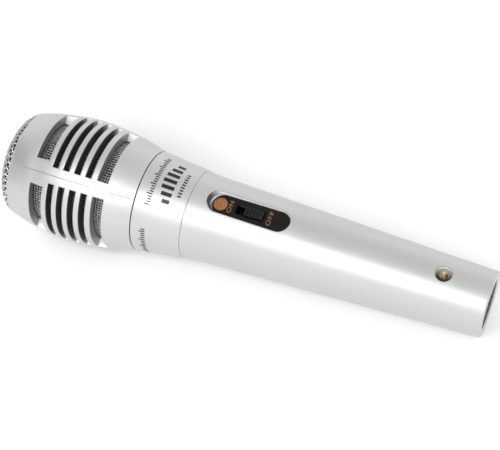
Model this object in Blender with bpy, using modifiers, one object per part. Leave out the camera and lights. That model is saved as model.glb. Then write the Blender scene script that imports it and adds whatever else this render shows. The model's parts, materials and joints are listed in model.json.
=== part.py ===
"""Handheld dynamic microphone, lying on a table on its head and its tail rim.

Every piece is built in the microphone's own frame: +Z runs up the axis from the tail face to the
head, +X is the side with the on/off switch. The empty "lay" then lays the whole thing down, head
towards -X, so the widest ring of the head and the rim of the tail both touch the ground.
"""
import bpy
import bmesh
from math import atan, cos, degrees, pi, radians, sin
from mathutils import Matrix, Vector

MM = 0.001

# overall shape of the body, radius and height above the tail face in mm
TAIL_R = 13.95
CONE_SLOPE = 0.0387          # rise of the handle's radius per mm of height
HANDLE_TOP = 128.0
HANDLE_FLARE = ((18.62, 119.0), (18.8, 123.0), (19.1, 126.2), (19.4, 127.8))
COLLAR_Z = (128.3, 149.1)
COLLAR_R = (19.45, 21.95)
CAGE_OUTER = ((23.4, 206.8), (23.85, 205.9), (24.75, 200.0), (25.75, 194.0), (26.6, 188.0),
              (27.0, 182.0), (26.9, 178.0), (26.4, 172.0), (25.7, 166.0), (24.7, 160.0),
              (23.5, 155.0), (22.2, 150.3), (22.0, 149.9))
CAGE_INNER = ((19.1, 149.9), (19.1, 158.0), (21.5, 158.0), (21.5, 198.5), (23.1, 198.6),
              (23.1, 206.8))
DOME_R = 22.8
DOME_BASE_Z = 206.4
DOME_RISE = 8.9

# slots of the cage: height of the lower and upper edge, half angle of the slot
NARROW_SLOT = 2.7
SLOT_PITCH = 5.0
SLOTS = [(161.5, 166.2, 37.0), (188.9, 195.0, 32.4)]
SLOTS += [(168.7 + SLOT_PITCH * i, 168.7 + SLOT_PITCH * i + NARROW_SLOT, 37.2) for i in range(4)]
SLOT_GROUPS = 4
CAGE_TURN = radians(14.1)    # where the first group of slots stands from the switch

# handle interior
SOCKET_R = 10.3
SOCKET_DEPTH = 15.8
INSERT_SEAT_R = 11.3
NECK_BORE_R = 14.3
PIN_CIRCLE = 4.4
SCREW_Z = 19.8

# switch, in the frame of its plate: X out of the handle, Z along it, parallel to the axis, so
# the recess gets deeper towards the head as the handle widens
SWITCH_Z = 103.1
SWITCH_SINK = 0.85
PLATE_LENGTH = 36.1
PLATE_WIDTH = 10.0
PLATE_SHORT = 1.7            # floor left bare at the head end of the recess
SLOT_CENTRE = -0.7
SLOT_SIZE = (4.8, 12.4)
KNOB_LENGTH = 8.2
KNOB_TRAVEL = 3.4
DOT_Z = 12.1
DOT_R = 2.95

# how it lies
ROLL = radians(11.25)        # the switch leans this far from straight up, towards -Y
PIN_ANGLES = [degrees(ROLL) + a for a in (55.0, -55.0, 180.0)]
SHELL_STEPS = 48
PART_STEPS = 32
SMALL_STEPS = 20
SMOOTH_ANGLE = radians(35)

for old in list(bpy.data.objects):
    bpy.data.objects.remove(old, do_unlink=True)

parts = bpy.data.collections.new("dynamic_microphone")
cutters = bpy.data.collections.new("cutters")
bpy.context.scene.collection.children.link(parts)
bpy.context.scene.collection.children.link(cutters)


def cone_r(z):
    """Radius of the handle's straight taper at a height."""
    return TAIL_R + CONE_SLOPE * z


def empty(name, parent=None):
    node = bpy.data.objects.new(name, None)
    node.empty_display_size = 0.02
    parts.objects.link(node)
    node.parent = parent
    return node


lay = empty("lay")
head_lift = empty("head_lift", lay)
coil_lift = empty("coil_lift", lay)
switch_frame = empty("switch_frame", lay)
knob_slide = empty("knob_slide", switch_frame)
switch_frame.location = Vector((cone_r(SWITCH_Z) - SWITCH_SINK, 0, SWITCH_Z)) * MM
knob_slide.location = Vector((-1.5, 0, SLOT_CENTRE - KNOB_TRAVEL / 2)) * MM
coil_lift.location = (0, 0, 175.6 * MM)
head_lift.location = (0, 0, 149.5 * MM)


def material(name, color, roughness, metallic=0.0):
    mat = bpy.data.materials.new(name)
    mat.use_nodes = True
    shader = mat.node_tree.nodes["Principled BSDF"]
    shader.inputs["Base Color"].default_value = (*color, 1.0)
    shader.inputs["Roughness"].default_value = roughness
    shader.inputs["Metallic"].default_value = metallic
    mat.diffuse_color = (*color, 1.0)
    return mat


SILVER = (0.62, 0.63, 0.64)
STEEL = (0.48, 0.48, 0.5)
BRASS = (0.72, 0.55, 0.25)
BLACK = (0.02, 0.02, 0.022)
NICKEL = (0.66, 0.63, 0.56)


def place(name, mesh, look, parent=lay, cutter=False):
    """Link a mesh under one of the empties, with coordinates given in that empty's frame."""
    obj = bpy.data.objects.new(name, mesh)
    obj.parent = parent
    if cutter:
        cutters.objects.link(obj)
        obj.hide_render = True
        obj.display_type = "WIRE"
        return obj
    parts.objects.link(obj)
    mesh.materials.append(material(name + "_finish", *look))
    return obj


def smooth(obj):
    bpy.context.view_layer.objects.active = obj
    obj.select_set(True)
    bpy.ops.object.shade_smooth()
    obj.data.set_sharp_from_angle(angle=SMOOTH_ANGLE)
    obj.select_set(False)


def turned(name, profile, steps, look, parent=lay, closed=True, offset=0.0):
    """A turned piece: (radius, height) points, down the outer side and up the inner side."""
    mesh = bpy.data.meshes.new(name)
    points = [(r * MM, 0.0, (z - offset) * MM) for r, z in profile]
    edges = [(i, i + 1) for i in range(len(points) - 1)]
    if closed:
        edges.append((len(points) - 1, 0))
    mesh.from_pydata(points, edges, [])
    obj = place(name, mesh, look, parent)
    screw = obj.modifiers.new("turn", "SCREW")
    screw.axis = "Z"
    screw.angle = 2 * pi
    screw.steps = steps
    screw.render_steps = steps
    screw.use_merge_vertices = True
    screw.merge_threshold = 0.00001
    screw.use_smooth_shade = True
    return obj


def solid(name, build, look, parent=lay, cutter=False):
    """A piece or cutter made by a function that fills a bmesh in millimetres."""
    mesh = bpy.data.meshes.new(name)
    bm = bmesh.new()
    build(bm)
    bmesh.ops.remove_doubles(bm, verts=bm.verts, dist=0.0001)
    bmesh.ops.recalc_face_normals(bm, faces=bm.faces)
    bmesh.ops.scale(bm, vec=(MM, MM, MM), verts=bm.verts)
    bm.to_mesh(mesh)
    bm.free()
    return place(name, mesh, look, parent, cutter)


def add_box(bm, low, high, turn=0.0):
    centre = [(a + b) / 2 for a, b in zip(low, high)]
    size = [b - a for a, b in zip(low, high)]
    matrix = Matrix.Rotation(turn, 4, "Z") @ Matrix.Translation(centre) @ Matrix.Diagonal((*size, 1))
    bmesh.ops.create_cube(bm, size=1.0, matrix=matrix)


def add_prism(bm, outline, low, high, swap=False):
    """Extrude an outline of (a, b) points: a and b are Y and Z, and X runs from low to high.

    With swap, a and b are Z and X instead, and Y runs from low to high.
    """
    def point(a, b, h):
        return (b, h, a) if swap else (h, a, b)

    bottom = [bm.verts.new(point(a, b, low)) for a, b in outline]
    top = [bm.verts.new(point(a, b, high)) for a, b in outline]
    bm.faces.new(bottom)
    bm.faces.new(top[::-1])
    count = len(outline)
    for i in range(count):
        j = (i + 1) % count
        bm.faces.new((bottom[i], top[i], top[j], bottom[j]))


def stadium(width, length, centre=0.0, steps=8):
    radius = width / 2
    reach = length / 2 - radius
    points = []
    for end in (1, -1):
        for i in range(steps + 1):
            angle = pi * i / steps
            points.append((end * radius * cos(angle), centre + end * (reach + radius * sin(angle))))
    return points


def circle(radius, steps, centre=(0.0, 0.0)):
    angles = [2 * pi * i / steps for i in range(steps)]
    return [(centre[0] + radius * cos(a), centre[1] + radius * sin(a)) for a in angles]


def rod(bm, x, y, radius, low, high, steps=12):
    """An upright round rod in the microphone's frame."""
    matrix = Matrix.Translation((x, y, (low + high) / 2))
    bmesh.ops.create_cone(bm, cap_ends=True, segments=steps, radius1=radius, radius2=radius,
                          depth=high - low, matrix=matrix)


def cut(target, *tools):
    for tool in tools:
        boolean = target.modifiers.new("cut_" + tool.name, "BOOLEAN")
        boolean.operation = "DIFFERENCE"
        boolean.solver = "EXACT"
        boolean.object = tool


def wire(name, points, radius, color):
    """An insulated wire as a bevelled curve through points in millimetres."""
    curve = bpy.data.curves.new(name, "CURVE")
    curve.dimensions = "3D"
    curve.bevel_depth = radius * MM
    curve.bevel_resolution = 1
    curve.use_fill_caps = True
    spline = curve.splines.new("POLY")
    spline.points.add(len(points) - 1)
    for node, point in zip(spline.points, points):
        node.co = (point[0] * MM, point[1] * MM, point[2] * MM, 1.0)
    return place(name, curve, (color, 0.55))


# ---- handle ---------------------------------------------------------------------------------
paint = (SILVER, 0.38, 0.55)
handle_profile = list(HANDLE_FLARE)[::-1]
handle_profile.insert(0, (19.2, HANDLE_TOP))
handle_profile += [(cone_r(z), z) for z in (112.0, 60.0, 0.6)]
handle_profile += [(TAIL_R - 0.6, 0.0), (SOCKET_R + 0.5, 0.0), (SOCKET_R, 0.6)]
handle_profile += [(SOCKET_R, SOCKET_DEPTH), (INSERT_SEAT_R, SOCKET_DEPTH), (INSERT_SEAT_R, 27.0)]
handle_profile += [(12.2, 30.0), (13.4, 62.0), (NECK_BORE_R, 100.0), (NECK_BORE_R, HANDLE_TOP)]
handle = turned("handle_shell", handle_profile, SHELL_STEPS, paint)

recess = solid("switch_recess", lambda bm: add_prism(bm, stadium(PLATE_WIDTH, PLATE_LENGTH), -2.3, 4.0),
               None, switch_frame, True)
window_half = (KNOB_TRAVEL + 10.0) / 2
window = solid("switch_window",
               lambda bm: add_box(bm, (-6.0, -2.8, SLOT_CENTRE - window_half),
                                  (-2.0, 2.8, SLOT_CENTRE + window_half)),
               None, switch_frame, True)
bore_outline = circle(3.4, 20, (0.0, SCREW_Z))
counterbore = solid("screw_counterbore", lambda bm: add_prism(bm, bore_outline, 12.0, 18.0), None, lay, True)
hole_outline = circle(1.65, 12, (0.0, SCREW_Z))
screw_hole = solid("screw_hole", lambda bm: add_prism(bm, hole_outline, 8.0, 13.0), None, lay, True)
cut(handle, recess, window, counterbore, screw_hole)

collar_profile = [(COLLAR_R[1] - 0.3, COLLAR_Z[1]), (COLLAR_R[1], COLLAR_Z[1] - 0.4)]
collar_profile += [(COLLAR_R[0], COLLAR_Z[0] + 0.2), (COLLAR_R[0] - 0.2, COLLAR_Z[0])]
collar_profile += [(16.95, COLLAR_Z[0]), (16.95, COLLAR_Z[1])]
turned("collar_ring", collar_profile, SHELL_STEPS, paint)

neck_profile = [(16.7, 157.0), (17.1, 156.6), (17.1, 149.2), (16.6, 149.2), (16.6, 128.3)]
neck_profile += [(14.0, 128.3), (14.0, 112.5), (12.4, 112.5), (12.4, 157.0)]
turned("neck_tube", neck_profile, PART_STEPS, (STEEL, 0.35, 0.9))
turned("ballast_tube", [(11.9, 76.0), (11.9, 34.0), (8.5, 34.0), (8.5, 76.0)], PART_STEPS,
       (STEEL, 0.45, 0.9))

# ---- switch ---------------------------------------------------------------------------------
plate_outline = stadium(PLATE_WIDTH - 0.7, PLATE_LENGTH - 0.7 - PLATE_SHORT, -PLATE_SHORT / 2)
plate = solid("switch_plate",
              lambda bm: add_prism(bm, plate_outline, -2.0, -1.0), (BLACK, 0.3), switch_frame)
slot_box = solid("plate_slot",
                 lambda bm: add_box(bm, (-3.0, -SLOT_SIZE[0] / 2, SLOT_CENTRE - SLOT_SIZE[1] / 2),
                                    (0.0, SLOT_SIZE[0] / 2, SLOT_CENTRE + SLOT_SIZE[1] / 2)),
                 None, switch_frame, True)
dot_seat = solid("dot_seat", lambda bm: add_prism(bm, circle(DOT_R + 0.1, 24, (0.0, DOT_Z)), -1.5, 0.0),
                 None, switch_frame, True)
cut(plate, slot_box, dot_seat)
solid("indicator_dot", lambda bm: add_prism(bm, circle(DOT_R, 24, (0.0, DOT_Z)), -1.4, -0.95),
      ((0.75, 0.32, 0.06), 0.45), switch_frame)


def knob_shape(bm):
    """Ribbed cap with a stem under it, in the frame of the slide."""
    half = KNOB_LENGTH / 2
    ribs = 5
    pitch = (KNOB_LENGTH - 1.0) / ribs
    outline = [(-half, -0.8), (-1.9, -0.8), (-1.9, -2.5), (1.9, -2.5), (1.9, -0.8), (half, -0.8)]
    outline.append((half, 1.3))
    for i in range(ribs):
        start = half - 0.5 - pitch * i
        outline += [(start - 0.05, 1.8), (start - pitch / 2, 1.8), (start - pitch * 0.62, 1.3),
                    (start - pitch * 0.9, 1.3)]
    outline.append((-half, 1.3))
    add_prism(bm, outline, -2.05, 2.05, swap=True)


solid("switch_knob", knob_shape, ((0.025, 0.025, 0.025), 0.4), knob_slide)
solid("switch_slider", lambda bm: add_box(bm, (-5.2, -2.3, -4.0), (-2.8, 2.3, 4.0)),
      ((0.8, 0.8, 0.76), 0.5), knob_slide)
body = solid("switch_body", lambda bm: add_box(bm, (-8.9, -3.7, SLOT_CENTRE - 8.4), (-4.0, 3.7, SLOT_CENTRE + 8.4)),
             (STEEL, 0.4, 0.8), switch_frame)
channel = solid("switch_channel",
                lambda bm: add_box(bm, (-7.2, -2.7, SLOT_CENTRE - 6.4), (-3.0, 2.7, SLOT_CENTRE + 6.4)),
                None, switch_frame, True)
cut(body, channel)
for number in (1, 2, 3):
    tab_z = SLOT_CENTRE + 4.0 * (number - 2)
    solid("switch_terminal_%d" % number,
          lambda bm: add_box(bm, (-11.8, -0.7, tab_z - 0.25), (-9.2, 0.7, tab_z + 0.25)),
          (NICKEL, 0.3, 0.9), switch_frame)

# ---- tail socket ----------------------------------------------------------------------------
pins = [(PIN_CIRCLE * cos(radians(a)), PIN_CIRCLE * sin(radians(a))) for a in PIN_ANGLES]
insert = turned("xlr_insert", [(0.0, 25.0), (11.0, 25.0), (11.0, 16.6), (10.5, 16.1), (0.0, 16.1)],
                PART_STEPS, (BLACK, 0.55), closed=False)


def pin_holes(bm):
    for x, y in pins:
        rod(bm, x, y, 1.35, 14.0, 27.0)


pin_hole_set = solid("pin_holes", pin_holes, None, lay, True)
pilot_outline = circle(1.45, 12, (0.0, SCREW_Z))
pilot = solid("screw_pilot", lambda bm: add_prism(bm, pilot_outline, 7.4, 12.0), None, lay, True)
cut(insert, pin_hole_set, pilot)
for number, (x, y) in enumerate(pins, 1):
    pin = turned("xlr_pin_%d" % number,
                 [(0.0, 27.5), (1.2, 27.5), (1.2, 3.6), (0.7, 3.0), (0.0, 3.0)], 12,
                 ((0.75, 0.72, 0.66), 0.22, 0.95), closed=False)
    pin.location = (x * MM, y * MM, 0.0)
tag_turn = radians(PIN_ANGLES[0])
solid("ground_tag", lambda bm: add_box(bm, (3.2, -1.3, 27.9), (11.1, 1.3, 28.3), tag_turn),
      (BRASS, 0.35, 0.9))

screw_frame = empty("screw_frame", lay)
screw_frame.location = (0, 0, SCREW_Z * MM)
screw_frame.rotation_euler = (0, pi / 2, 0)
screw = turned("tail_screw",
               [(0.0, 13.5), (1.6, 13.4), (2.5, 13.1), (2.9, 12.7), (2.9, 12.3), (1.3, 12.3),
                (1.3, 8.4), (0.6, 7.8), (0.0, 7.8)], SMALL_STEPS, (NICKEL, 0.25, 0.95),
               parent=screw_frame, closed=False)


def cross(bm):
    arm = 1.7
    half = 0.36
    outline = [(half, half), (half, arm), (-half, arm), (-half, half), (-arm, half), (-arm, -half),
               (-half, -half), (-half, -arm), (half, -arm), (half, -half), (arm, -half), (arm, half)]
    add_prism(bm, [(a, b + SCREW_Z) for a, b in outline], 12.7, 15.0)


cut(screw, solid("cross_recess", cross, None, lay, True))

# ---- head -----------------------------------------------------------------------------------
LIFT_Z = 149.5
turned("head_gasket", [(21.3, 149.7), (21.3, 149.3), (17.6, 149.3), (17.6, 149.7)], SHELL_STEPS,
       ((0.03, 0.03, 0.03), 0.7), head_lift, offset=LIFT_Z)
cage = turned("grille_cage", list(CAGE_OUTER) + list(CAGE_INNER), SHELL_STEPS, paint, head_lift,
              offset=LIFT_Z)


def add_sector(bm, angle, middle, low, high):
    """A wedge of a ring round the axis: its two ends are radial planes either side of middle."""
    directions = [(cos(middle + side * angle), sin(middle + side * angle)) for side in (-1, 1)]
    outline = [(r * directions[i][0], r * directions[i][1]) for r, i in ((12, 0), (40, 0), (40, 1), (12, 1))]
    bottom = [bm.verts.new((x, y, low)) for x, y in outline]
    top = [bm.verts.new((x, y, high)) for x, y in outline]
    bm.faces.new(bottom[::-1])
    bm.faces.new(top)
    for i in range(4):
        bm.faces.new((bottom[i - 1], bottom[i], top[i], top[i - 1]))


def slot_set(bm):
    for low, high, half_angle in SLOTS:
        for group in range(SLOT_GROUPS):
            middle = CAGE_TURN + group * 2 * pi / SLOT_GROUPS
            add_sector(bm, radians(half_angle), middle, low - LIFT_Z, high - LIFT_Z)


cut(cage, solid("cage_slots", slot_set, None, head_lift, True))
turned("head_thread_insert", [(18.8, 157.7), (18.8, 150.1), (17.5, 150.1), (17.5, 157.7)], PART_STEPS,
       (BRASS, 0.3, 0.9), head_lift, offset=LIFT_Z)
mesh_look = ((0.5, 0.5, 0.5), 0.35, 0.9)
turned("mesh_sleeve", [(21.2, 198.6), (21.2, 158.4), (20.8, 158.4), (20.8, 198.6)], PART_STEPS,
       mesh_look, head_lift, offset=LIFT_Z)
turned("dome_retaining_ring", [(22.9, 200.0), (22.9, 198.9), (21.4, 198.9), (21.4, 200.0)], PART_STEPS,
       (STEEL, 0.35, 0.9), head_lift, offset=LIFT_Z)


def dome_arc(radius, base, rise, steps):
    """Points of a flattened dome from its tip down to its base."""
    angles = [pi / 2 * i / steps for i in range(steps + 1)]
    return [(radius * sin(a), base + rise * cos(a)) for a in angles]


dome_profile = dome_arc(DOME_R, DOME_BASE_Z, DOME_RISE, 7)
dome_profile += [(DOME_R, 200.3), (DOME_R - 0.5, 200.3)]
dome_profile += dome_arc(DOME_R - 0.5, DOME_BASE_Z, DOME_RISE - 0.5, 6)[::-1]
turned("mesh_dome", dome_profile, PART_STEPS, mesh_look, head_lift, closed=False, offset=LIFT_Z)
foam_profile = dome_arc(21.5, 206.0, 7.9, 5)
foam_profile += [(21.5, 200.8), (20.5, 200.3), (20.5, 159.0), (16.8, 159.0), (16.8, 200.0)]
foam_profile += dome_arc(16.8, 202.0, 7.0, 4)[::-1]
turned("foam_windscreen", foam_profile, 24, ((0.03, 0.03, 0.03), 0.95), head_lift, closed=False,
       offset=LIFT_Z)

# ---- capsule --------------------------------------------------------------------------------
turned("shock_mount", [(16.3, 163.0), (16.3, 157.3), (11.6, 157.3), (11.6, 163.0)], 24,
       ((0.04, 0.04, 0.04), 0.8))
turned("capsule_housing",
       [(0.0, 164.8), (12.6, 164.8), (12.6, 175.6), (13.9, 175.6), (13.9, 181.0), (15.4, 181.0),
        (15.4, 163.3), (0.0, 163.3)], 24, (BLACK, 0.5), closed=False)
turned("pole_cup",
       [(0.0, 166.6), (8.6, 166.6), (8.6, 173.6), (10.0, 173.6), (10.0, 165.1), (0.0, 165.1)],
       24, (STEEL, 0.4, 0.9), closed=False)
turned("magnet", [(0.0, 171.6), (6.6, 171.6), (6.6, 166.9), (0.0, 166.9)], 24, ((0.3, 0.3, 0.31), 0.4, 0.8),
       closed=False)
turned("top_plate", [(0.0, 173.6), (6.9, 173.6), (6.9, 171.9), (0.0, 171.9)], 24, (STEEL, 0.4, 0.9),
       closed=False)
turned("voice_coil", [(8.05, 175.6), (8.05, 170.2), (7.35, 170.2), (7.35, 175.6)], 24,
       ((0.7, 0.33, 0.15), 0.35, 0.9), coil_lift, offset=175.6)
film = ((0.75, 0.75, 0.7), 0.25)
centre_profile = dome_arc(8.05, 176.2, 1.8, 3) + [(8.05, 175.9), (7.4, 175.9)]
centre_profile += dome_arc(7.4, 176.1, 1.6, 3)[::-1]
turned("diaphragm_dome", centre_profile, 24, film, coil_lift, closed=False, offset=175.6)
turned("diaphragm_surround",
       [(13.5, 176.2), (13.5, 175.9), (12.2, 175.9), (10.8, 176.7), (9.4, 176.5), (8.4, 175.9),
        (8.4, 176.2), (9.4, 176.8), (10.8, 177.0), (12.2, 176.2)], 24, film)
cap = turned("capsule_cap", [(0.0, 182.8), (15.0, 182.8), (15.4, 182.4), (15.4, 181.3), (0.0, 181.3)],
             24, (BLACK, 0.45), closed=False)


def cap_holes(bm):
    rod(bm, 0.0, 0.0, 1.9, 180.0, 184.0)
    for i in range(6):
        angle = pi / 3 * i
        rod(bm, 8.2 * cos(angle), 8.2 * sin(angle), 2.2, 180.0, 184.0)


cut(cap, solid("cap_holes", cap_holes, None, lay, True))
for side, x in (("hot", 5.0), ("cold", -5.0)):
    solid("capsule_terminal_" + side,
          lambda bm: add_box(bm, (x - 0.9, -1.1, 160.2), (x + 0.9, 1.1, 163.0)), (BRASS, 0.35, 0.9))

# ---- wiring ---------------------------------------------------------------------------------
red = (0.55, 0.03, 0.02)
hot = [(5.0, 0.0, 159.8), (4.8, 0.3, 154.0), (3.6, 1.6, 140.0), (3.2, 1.8, 124.0), (4.4, 0.9, 113.0),
       (4.25, 0.0, 106.6)]
wire("capsule_lead_hot", hot, 0.6, red)
pin_2, pin_3 = pins[1], pins[2]
cold = [(-5.0, 0.0, 159.8), (-5.2, -0.4, 150.0), (-4.0, -1.6, 128.0), (-3.6, -1.4, 104.0),
        (-5.0, 0.4, 80.0), (-5.4, 0.6, 56.0), (-4.9, 0.2, 36.0), (pin_3[0], pin_3[1], 27.9)]
wire("capsule_lead_cold", cold, 0.6, BLACK)
socket = [(4.25, 0.0, 98.2), (4.0, -0.8, 92.0), (3.4, -2.6, 78.0), (3.0, -3.4, 56.0), (2.8, -3.7, 38.0),
          (pin_2[0], pin_2[1], 27.9)]
wire("socket_lead", socket, 0.6, red)

# ---- smooth the round pieces and lay the microphone down ----------------------------------------
for obj in parts.objects:
    if obj.type == "MESH" and obj.modifiers.get("turn"):
        smooth(obj)

tail_edge = (cone_r(0.6), 0.6)
flat = cos(pi / SHELL_STEPS)
tilt = max(atan(flat * (r - tail_edge[0]) / (z - tail_edge[1])) for r, z in CAGE_OUTER if z > 160.0)
head_way = Vector((-cos(tilt), 0.0, sin(tilt)))
up = Vector((sin(tilt), 0.0, cos(tilt)))
switch_way = up * cos(ROLL) - Vector((0.0, 1.0, 0.0)) * sin(ROLL)
side_way = head_way.cross(switch_way)
lay.matrix_world = Matrix((switch_way, side_way, head_way)).transposed().to_4x4()
bpy.context.view_layer.update()

graph = bpy.context.evaluated_depsgraph_get()
corners = []
for obj in parts.objects:
    if obj.type != "EMPTY":
        shape = obj.evaluated_get(graph)
        mesh = shape.to_mesh()
        corners += [shape.matrix_world @ v.co for v in mesh.vertices]
        shape.to_mesh_clear()
low = Vector([min(c[i] for c in corners) for i in range(3)])
high = Vector([max(c[i] for c in corners) for i in range(3)])
lay.location = (-(low.x + high.x) / 2, -(low.y + high.y) / 2, -low.z)
bpy.context.view_layer.update()
print("tilt %.4f deg, size %s" % (degrees(tilt), [round(v, 5) for v in high - low]))
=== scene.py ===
import json
from math import atan2, cos, exp, hypot, pi, radians, sin, tan

import bmesh
import bpy
from mathutils import Matrix, Vector


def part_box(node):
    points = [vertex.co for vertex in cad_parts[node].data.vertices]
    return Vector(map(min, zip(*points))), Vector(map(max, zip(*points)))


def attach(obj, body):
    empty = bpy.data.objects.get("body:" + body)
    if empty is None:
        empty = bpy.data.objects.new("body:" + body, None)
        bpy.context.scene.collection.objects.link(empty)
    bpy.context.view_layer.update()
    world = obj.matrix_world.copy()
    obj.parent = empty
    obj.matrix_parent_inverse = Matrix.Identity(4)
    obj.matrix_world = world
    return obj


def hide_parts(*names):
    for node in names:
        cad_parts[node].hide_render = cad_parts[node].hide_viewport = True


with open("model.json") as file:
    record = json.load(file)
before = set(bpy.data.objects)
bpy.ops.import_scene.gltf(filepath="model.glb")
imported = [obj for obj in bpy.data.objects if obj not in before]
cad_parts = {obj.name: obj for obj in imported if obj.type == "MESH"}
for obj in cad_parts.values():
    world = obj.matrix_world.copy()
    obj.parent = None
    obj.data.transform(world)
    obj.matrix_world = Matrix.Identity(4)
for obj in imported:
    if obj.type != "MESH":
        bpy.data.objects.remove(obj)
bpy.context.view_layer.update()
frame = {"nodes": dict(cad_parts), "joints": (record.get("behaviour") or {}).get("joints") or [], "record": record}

# The microphone lies on its head and its tail rim. Every piece below is built in millimetres in
# the microphone's own frame: Z up the axis from the tail face, X towards the on/off switch.
MM = 0.001
JOINTS = {joint["name"]: joint for joint in frame["joints"]}
TAIL_FACE = next(m for m in frame["record"]["mounts"] if m["name"] == "tail_face")


def microphone_frame():
    """The microphone's frame: its axis is the thread's, and X points at the switch's dot."""
    axis = Vector(JOINTS["head_unscrew"]["axis"]).normalized()
    on_axis = Vector(JOINTS["head_unscrew"]["pos_m"])
    tail = on_axis + axis * (Vector(TAIL_FACE["pos_m"]) - on_axis).dot(axis)
    low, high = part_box("indicator_dot")
    dot = (low + high) / 2 - tail
    side = (dot - axis * dot.dot(axis)).normalized()
    turn = Matrix((side, axis.cross(side), axis)).transposed().to_4x4()
    return Matrix.Translation(tail) @ turn


MIC = microphone_frame()
AXIS = MIC.to_3x3() @ Vector((0, 0, 1))

# ---- sizes, in mm ----
CAD_STEPS = 48  # flats of the CAD model's round shells
SNUG = cos(pi / CAD_STEPS) * 0.9994  # a true circle that fits inside those flats
STEPS = 192
TAIL_R = 13.95
CONE_SLOPE = 0.0387
HANDLE_TOP = 128.0
FLARE = 0.5
FLARE_REACH = 2.6
SOCKET_R = 10.3
SOCKET_DEPTH = 15.8
INSERT_SEAT_R = 11.3
NECK_BORE_R = 14.3
COLLAR = ((19.45, 128.3), (21.95, 149.1))
COLLAR_BORE_R = 16.95
GASKET_Z = (149.35, 149.65)
COLLAR_SLOPE = (COLLAR[1][0] - COLLAR[0][0]) / (COLLAR[1][1] - COLLAR[0][1])
INK = 0.03
CAGE_OUTER = ((22.0, 149.9), (23.5, 155.0), (24.7, 160.0), (25.7, 166.0), (26.4, 172.0),
              (26.9, 178.0), (27.0, 182.0), (26.6, 188.0), (25.75, 194.0), (25.2, 198.0),
              (24.6, 201.0), (23.95, 203.6), (23.15, 206.3))
CAGE_LIP_Z = 206.3
CAGE_WALL_R = 21.5
CAGE_MOUTH_R = 22.85
CAGE_LEDGE_Z = 198.5
SLOTS = [(161.5, 166.2, radians(37.0))]
SLOTS += [(168.7 + 5.0 * i, 171.4 + 5.0 * i, radians(37.2)) for i in range(4)]
SLOTS += [(188.9, 195.0, radians(32.4))]
SLOT_GROUPS = 4
CAGE_TURN = radians(14.1)
SWITCH_Z = 103.1
SWITCH_SINK = 0.85
PLATE_LENGTH = 36.1
PLATE_WIDTH = 10.0
PLATE_SHORT = 1.7
SLOT_CENTRE = -0.7
SLOT_SIZE = (4.8, 12.4)
KNOB_LENGTH = 8.2
KNOB_TRAVEL = 3.4
DOT_Z = 12.5
DOT_R = 2.95
SCREW_Z = 19.8
SCREW_HOLE_R = 3.4
SCREW_SEAT_X = 12.0
LIP_HEIGHT = 0.45
PIN_CIRCLE = 4.4

SWITCH_X = TAIL_R + CONE_SLOPE * SWITCH_Z - SWITCH_SINK
SWITCH = MIC @ Matrix.Translation(Vector((SWITCH_X, 0, SWITCH_Z)) * MM)
UP = MIC.to_3x3().transposed() @ Vector((0, 0, 1))
UP_ANGLE = atan2(UP.y, UP.x)


# ---- materials ----
def put(thing, **values):
    """Sets several properties of a Blender thing and returns it."""
    for key, value in values.items():
        setattr(thing, key, value)
    return thing


class Nodes:
    """Adds shader nodes to a tree."""

    def __init__(self, tree):
        self.tree = tree

    def add(self, kind, output, inputs=(), **settings):
        """Output of a new node; each of its inputs is a value or another node's output."""
        node = put(self.tree.nodes.new("ShaderNode" + kind), **settings)
        for key, value in dict(inputs).items():
            if isinstance(value, bpy.types.NodeSocket):
                self.tree.links.new(value, node.inputs[key])
            else:
                node.inputs[key].default_value = value
        return node.outputs[output]

    def sums(self, operation, first, second):
        """The result of one sum."""
        return self.add("Math", "Value", {0: first, 1: second}, operation=operation)

    def between(self, value, low, high, start=0.35, stop=0.65, kind="LINEAR"):
        """Maps a value's range from start to stop on to low..high."""
        limits = {"From Min": start, "From Max": stop, "To Min": low, "To Max": high}
        return self.add("MapRange", "Result", {"Value": value, **limits}, interpolation_type=kind)


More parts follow.
